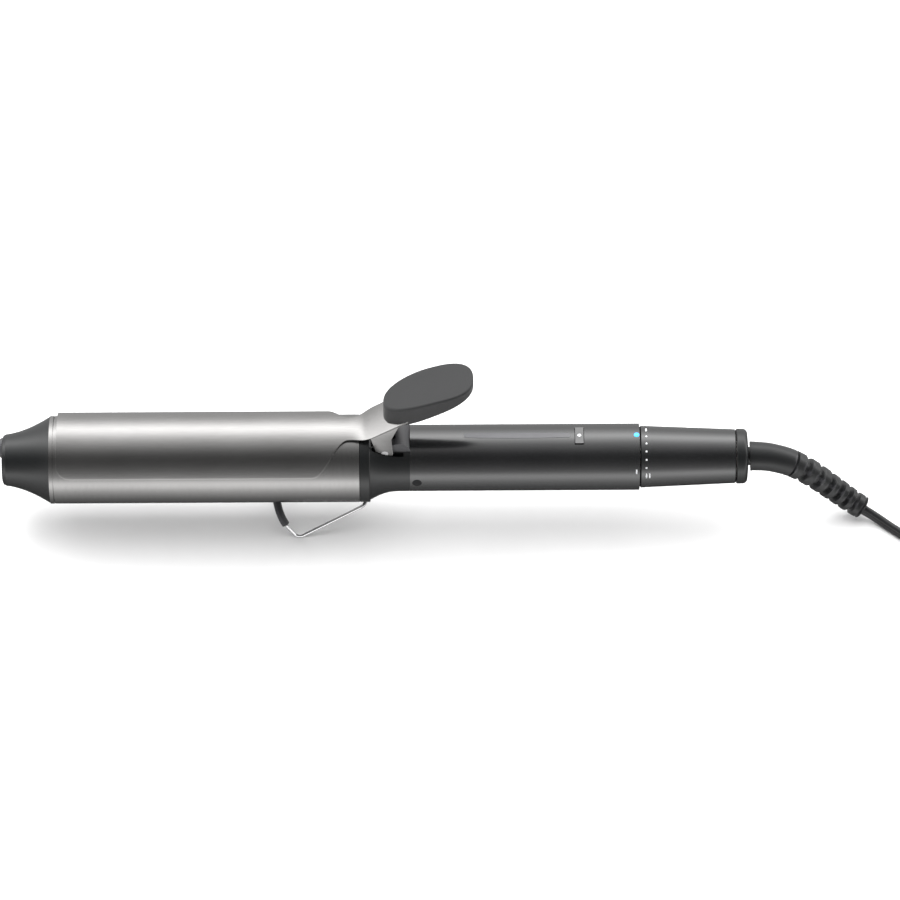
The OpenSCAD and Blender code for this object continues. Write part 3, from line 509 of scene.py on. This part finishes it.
MARK_S, DOTS, DOT, DOT_STEP = 278.3, 5, 0.85, 15.7
dial_marks = [pad(f"dial_dot_{k}", MARK_S, DOT_STEP * k, DOT, DOT, dial_radius) for k in range(DOTS)]
for name, s, across in (("dial_low_bar", MARK_S, -19), ("dial_high_bar", MARK_S, 80),
                        ("dial_high_bar_2", MARK_S + 1.4, 80)):
    dial_marks.append(pad(name, s, across, 0.7, 2.6, dial_radius))
pointer = pad("ring_pointer", 274.0, 68, 0.7, 2.2, handle_radius)
inlay = pad("handle_inlay", 222.5, 0, 46, 3.2, handle_radius, lift=0.1)
button_lo, button_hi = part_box("power_button")
button_s = ((button_lo.x + button_hi.x) / 2 - STATION_0) / MM
button_mark = pad("button_mark", button_s, 0, 1.6, 1.6, lambda _: (button_hi.z - AXIS_Z) / MM)
print("made", len(dial_marks) + 3, "marks")

# %% [markdown]
# ## Finishes
#
# Every finish starts from the same few nodes: a fine noise on Object coordinates that moves the colour and the
# roughness a little, and a bump so small that it only breaks the highlights. What differs is the scale, the depth and
# the shader's own values. Values that are the same all over go straight on the shader's sockets.


# %% A finish with grain
def finish(name, colour, second, roughness, spread=0.05, grain=900, stretch=(1, 1, 1), bump=0.02, depth=0.00002,
           wear=None, **values):
    """A material whose colour and roughness wander between two values, with a fine bump."""
    material = bpy.data.materials.new(name)
    material.use_nodes = True
    nodes_of, links = material.node_tree.nodes, material.node_tree.links
    shader = nodes_of["Principled BSDF"]
    for key, value in values.items():
        shader.inputs[key.replace("_", " ")].default_value = value
    place = nodes_of.new("ShaderNodeTexCoord")
    mapping = nodes_of.new("ShaderNodeMapping")
    mapping.inputs["Scale"].default_value = stretch
    links.new(place.outputs["Object"], mapping.inputs["Vector"])
    fine = nodes_of.new("ShaderNodeTexNoise")
    fine.inputs["Scale"].default_value = grain
    fine.inputs["Detail"].default_value = 4
    links.new(mapping.outputs["Vector"], fine.inputs["Vector"])
    broad = nodes_of.new("ShaderNodeTexNoise")
    broad.inputs["Scale"].default_value = 35
    broad.inputs["Detail"].default_value = 3
    links.new(place.outputs["Object"], broad.inputs["Vector"])
    both = nodes_of.new("ShaderNodeMath")
    both.operation = "MULTIPLY_ADD"
    both.inputs[1].default_value = 0.4
    links.new(fine.outputs["Fac"], both.inputs[0])
    spare = nodes_of.new("ShaderNodeMath")
    spare.operation = "MULTIPLY"
    spare.inputs[1].default_value = 0.6
    links.new(broad.outputs["Fac"], spare.inputs[0])
    links.new(spare.outputs["Value"], both.inputs[2])
    ramp = nodes_of.new("ShaderNodeValToRGB")
    ramp.color_ramp.elements[0].position, ramp.color_ramp.elements[1].position = 0.35, 0.65
    ramp.color_ramp.elements[0].color = (*colour, 1)
    ramp.color_ramp.elements[1].color = (*second, 1)
    links.new(both.outputs["Value"], ramp.inputs["Fac"])
    colour_out = ramp.outputs["Color"]
    if wear:
        edge = nodes_of.new("ShaderNodeNewGeometry")
        sharp = nodes_of.new("ShaderNodeMapRange")
        sharp.inputs["From Min"].default_value, sharp.inputs["From Max"].default_value = 0.53, 0.62
        links.new(edge.outputs["Pointiness"], sharp.inputs["Value"])
        mix = nodes_of.new("ShaderNodeMixRGB")
        mix.inputs["Color2"].default_value = (*wear, 1)
        links.new(sharp.outputs["Result"], mix.inputs["Fac"])
        links.new(colour_out, mix.inputs["Color1"])
        colour_out = mix.outputs["Color"]
    links.new(colour_out, shader.inputs["Base Color"])
    rough = nodes_of.new("ShaderNodeMapRange")
    rough.inputs["To Min"].default_value = roughness - spread
    rough.inputs["To Max"].default_value = roughness + spread
    links.new(both.outputs["Value"], rough.inputs["Value"])
    links.new(rough.outputs["Result"], shader.inputs["Roughness"])
    relief_bump = nodes_of.new("ShaderNodeBump")
    relief_bump.inputs["Strength"].default_value = bump
    relief_bump.inputs["Distance"].default_value = depth
    links.new(fine.outputs["Fac"], relief_bump.inputs["Height"])
    links.new(relief_bump.outputs["Normal"], shader.inputs["Normal"])
    return material


# %% [markdown]
# The barrel is turned and then coated, so its grain runs round it: the noise is stretched sideways to the axis. The
# clamp is rolled sheet with the same coating, and its grain runs along it. The coating is a metal with a satin
# roughness; a mirror would show the studio's lights as hard lines.

# %% Metals
barrel_coat = finish("barrel_coat", (0.33, 0.325, 0.32), (0.37, 0.365, 0.36), 0.25, 0.03, grain=1400,
                     stretch=(1, 0.12, 0.12), bump=0.10, Metallic=1.0)
clamp_coat = finish("clamp_coat", (0.33, 0.325, 0.32), (0.37, 0.365, 0.36), 0.25, 0.03, grain=1400,
                    stretch=(0.12, 1, 1), bump=0.10, Metallic=1.0)
steel = finish("zinc_steel", (0.60, 0.60, 0.61), (0.68, 0.68, 0.69), 0.22, 0.06, grain=1200, bump=0.12, Metallic=1.0)
bright_wire = finish("plated_wire", (0.66, 0.66, 0.67), (0.74, 0.74, 0.75), 0.14, 0.05, grain=1600, bump=0.08,
                     Metallic=1.0)
aluminium = finish("extruded_aluminium", (0.72, 0.72, 0.73), (0.80, 0.80, 0.81), 0.34, 0.08, grain=1500,
                   stretch=(0.06, 1, 1), bump=0.2, Metallic=1.0)
brass = finish("contact_brass", (0.72, 0.52, 0.22), (0.80, 0.60, 0.28), 0.26, 0.07, bump=0.1, Metallic=1.0)
pin_metal = finish("pin_metal", (0.66, 0.64, 0.60), (0.74, 0.72, 0.68), 0.2, 0.05, grain=1300, bump=0.12, Metallic=1.0)

# %% [markdown]
# The mouldings are all black, but not the same black. The handle is satin and nearly smooth, the heat-proof tip and
# collar have a fine spark-eroded texture, and the thumb rest is soft to the touch, which the sheen brings out.

# %% Mouldings
satin_black = finish("satin_black", (0.004, 0.0045, 0.005), (0.007, 0.0075, 0.008), 0.22, 0.03, grain=1800, bump=0.08,
                     IOR=2.0)
black_plastic = finish("black_plastic", (0.005, 0.0058, 0.006), (0.009, 0.010, 0.0105), 0.30, 0.05, grain=2600,
                       bump=0.25, IOR=1.6)
black_steel = finish("blackened_steel", (0.010, 0.010, 0.011), (0.016, 0.016, 0.018), 0.40, 0.05, bump=0.2,
                     Metallic=0.6)
grey_plastic = finish("grey_plastic", (0.060, 0.060, 0.064), (0.080, 0.080, 0.085), 0.42, 0.05, grain=2400, bump=0.3)
soft_grey = finish("soft_grey", (0.013, 0.0133, 0.014), (0.019, 0.0193, 0.020), 0.58, 0.05, grain=2800, bump=0.45,
                   Sheen_Weight=0.15, Sheen_Roughness=0.5)
inner_plastic = finish("inner_plastic", (0.55, 0.53, 0.49), (0.63, 0.61, 0.57), 0.48, 0.06, bump=0.2)
board_green = finish("board_green", (0.010, 0.12, 0.04), (0.018, 0.17, 0.06), 0.35, 0.08, grain=2200,
                     stretch=(1, 0.1, 1), bump=0.25, Coat_Weight=0.4)
component = finish("component", (0.03, 0.03, 0.04), (0.06, 0.06, 0.08), 0.42, 0.08, bump=0.2)
ceramic = finish("ceramic", (0.78, 0.74, 0.67), (0.86, 0.83, 0.77), 0.52, 0.08, grain=2000, bump=0.4)

# %% [markdown]
# The rubbers are rougher. The cord's jacket is drawn lengthways through a die, and has a dull skin with a soft sheen
# where the light grazes it. The printed marks are a matt white ink, and the lit lens gives off its own blue.

# %% Rubbers, inks and the lens
cord_rubber = finish("cord_rubber", (0.006, 0.0065, 0.007), (0.011, 0.0115, 0.012), 0.36, 0.06, grain=2400, bump=0.25,
                     wear=(0.035, 0.035, 0.038), Sheen_Weight=0.1, Sheen_Roughness=0.5)
sleeve_rubber = finish("sleeve_rubber", (0.035, 0.035, 0.038), (0.050, 0.050, 0.054), 0.55, 0.06, grain=2400, bump=0.35,
                       Sheen_Weight=0.2)
lead_jacket = finish("lead_jacket", (0.62, 0.60, 0.56), (0.70, 0.68, 0.64), 0.55, 0.06, bump=0.25)
tie_strap = finish("tie_strap", (0.022, 0.022, 0.024), (0.045, 0.045, 0.048), 0.85, 0.06, grain=3600,
                   stretch=(1, 1, 1), bump=0.9, depth=0.0002, Sheen_Weight=0.5, Sheen_Roughness=0.6)
white_ink = finish("white_ink", (0.70, 0.71, 0.72), (0.80, 0.80, 0.81), 0.55, 0.05, grain=2600, bump=0.1)
pale_inlay = finish("pale_inlay", (0.10, 0.10, 0.105), (0.13, 0.13, 0.135), 0.30, 0.04, grain=2600,
                    stretch=(0.1, 1, 1), bump=0.15, Metallic=0.6)
blue_lens = finish("blue_lens", (0.02, 0.30, 0.75), (0.05, 0.45, 0.90), 0.18, 0.04, bump=0.05,
                   Emission_Color=(0.05, 0.42, 1.0, 1), Emission_Strength=1.6, Coat_Weight=0.5)

# %% Which node has which finish
looks = {
    barrel_coat: ["barrel_lip", "barrel_tube"], clamp_coat: ["clamp"],
    steel: ["thermal_fuse", "hinge_pin", "torsion_spring", "board_screws", "thumb_rest_screws"],
    bright_wire: ["stand_wire"], aluminium: ["spreader_upper", "spreader_lower"],
    brass: ["brush_contacts", "dial_wiper", "slip_rings"], pin_metal: ["plug_pins"],
    satin_black: ["handle_sleeve", "indicator_ring", "temperature_dial", "power_button"],
    black_plastic: ["cool_tip", "collar", "end_cap", "swivel_stem"], black_steel: ["collar_screws"],
    grey_plastic: ["tip_plug", "hinge_block"], soft_grey: ["thumb_rest"],
    inner_plastic: ["chassis_upper", "chassis_lower", "dial_hub", "brush_holder"],
    board_green: ["control_board"], component: ["board_parts", "tact_switch"],
    ceramic: ["heater_plate", "thermistor", "barrel_insulator"], sleeve_rubber: ["stand_sleeve"],
    lead_jacket: ["heater_leads", "mains_leads"], blue_lens: ["indicator_lamp", "led_lens"],
    cord_rubber: ["strain_relief", "cord_tube", "cord_hank", "cord_tail", "plug_body"], tie_strap: ["cord_tie"],
}


def paint(piece, material):
    if not piece.material_slots:
        piece.data.materials.append(material)
    for one in piece.material_slots:
        one.material = material


for material, names in looks.items():
    for name in names:
        paint(nodes[name], material)
print("painted", sum(len(names) for names in looks.values()), "of", len(nodes), "nodes")

# %% [markdown]
# ## What each new piece stands for
#
# A new piece takes its finish, rides on a body, and hides the plain CAD node that it stands for.

# %% Finishes, rides and replaced nodes
new_pieces = [(cord, cord_rubber, "cord_rubber", "cord", ["cord_tube", "cord_hank", "cord_tail"]),
              (relief, cord_rubber, "cord_rubber", "cord", ["strain_relief"]),
              (plug, cord_rubber, "cord_rubber", "cord", ["plug_body"]),
              (strap, tie_strap, "tie_strap", "cord", ["cord_tie"]),
              (clamp, clamp_coat, "clamp_coat", "clamp", ["clamp"]),
              (thumb, soft_grey, "soft_grey", "clamp", ["thumb_rest"]),
              (pointer, white_ink, "satin_black", "iron", []),
              (inlay, pale_inlay, "satin_black", "iron", []),
              (button_mark, white_ink, "grey_plastic", "button", [])]
new_pieces += [(mark, white_ink, "satin_black", "dial", []) for mark in dial_marks]
for piece, material, slot_name, body, stands_for in new_pieces:
    paint(piece, material)
    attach(piece, body)
    if stands_for:
        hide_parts(*stands_for)
print("rigged", len(new_pieces), "pieces")

# %% [markdown]
# ## Studio
#
# A satin tube shows its surroundings as bands, so the light is set by direction. The world is a smooth run of grey from
# the horizon in front of the iron, over the top, to the horizon behind it, with one bright band that makes the long
# highlight. A lamp from above, hidden from reflections, lights the floor to near white. The floor is hidden from
# reflections too, so the metal sees the lower part of the same run of grey instead of it.

# %% World
world = bpy.data.worlds.new("studio")
bpy.context.scene.world = world
world.use_nodes = True
tree = world.node_tree
background = tree.nodes["Background"]
where = tree.nodes.new("ShaderNodeTexCoord")
split = tree.nodes.new("ShaderNodeSeparateXYZ")
tree.links.new(where.outputs["Generated"], split.inputs["Vector"])
front = tree.nodes.new("ShaderNodeMath")
front.operation = "MULTIPLY"
front.inputs[1].default_value = -1
tree.links.new(split.outputs["Y"], front.inputs[0])
turn = tree.nodes.new("ShaderNodeMath")
turn.operation = "ARCTAN2"
tree.links.new(split.outputs["Z"], turn.inputs[0])
tree.links.new(front.outputs["Value"], turn.inputs[1])
share = tree.nodes.new("ShaderNodeMapRange")
share.inputs["From Min"].default_value = -math.pi
share.inputs["From Max"].default_value = math.pi
tree.links.new(turn.outputs["Value"], share.inputs["Value"])
bands = tree.nodes.new("ShaderNodeValToRGB")
tree.links.new(share.outputs["Result"], bands.inputs["Fac"])
tree.links.new(bands.outputs["Color"], background.inputs["Color"])
BAND_TOP = 3.2
background.inputs["Strength"].default_value = BAND_TOP
steps = [(-180, 0.75), (-107, 0.08), (-78, 0.26), (-58, 0.56), (-42, 0.95), (-30, 1.6), (-18, 1.9), (-8, 1.0),
         (0, 0.60), (10, 0.40), (20, 0.26), (31, 0.16), (41, 0.11), (51, 0.10), (62, 0.16), (73, 0.34),
         (83, 0.58), (94, 0.92), (106, 1.5), (118, 2.6), (126, 3.15), (132, 3.1), (146, 1.8), (163, 0.95), (180, 0.75)]
elements = bands.color_ramp.elements
while len(elements) < len(steps):
    elements.new(0.5)
for element, (angle, level) in zip(elements, steps):
    element.position = (angle + 180) / 360
    element.color = (level / BAND_TOP,) * 3 + (1,)
print("world of", len(steps), "bands")

# %% Lamp and floor
lamp_data = bpy.data.lights.new("overhead", "AREA")
lamp_data.shape, lamp_data.size, lamp_data.size_y = "RECTANGLE", 3.0, 3.0
lamp_data.energy = 95
lamp = bpy.data.objects.new("overhead", lamp_data)
bpy.context.scene.collection.objects.link(lamp)
lamp.location = (0, 0.3, 2.5)
lamp.visible_glossy = False
bpy.ops.object.select_all(action="DESELECT")
bpy.ops.mesh.primitive_plane_add(size=12, location=(0, 0, -0.0001))
floor = bpy.context.active_object
floor.name = "floor"
paint(floor, finish("floor", (0.90, 0.90, 0.90), (0.92, 0.92, 0.92), 0.8, 0.02, grain=60, bump=0.0))
floor.visible_glossy = False
bpy.context.scene.view_settings.view_transform = "Standard"
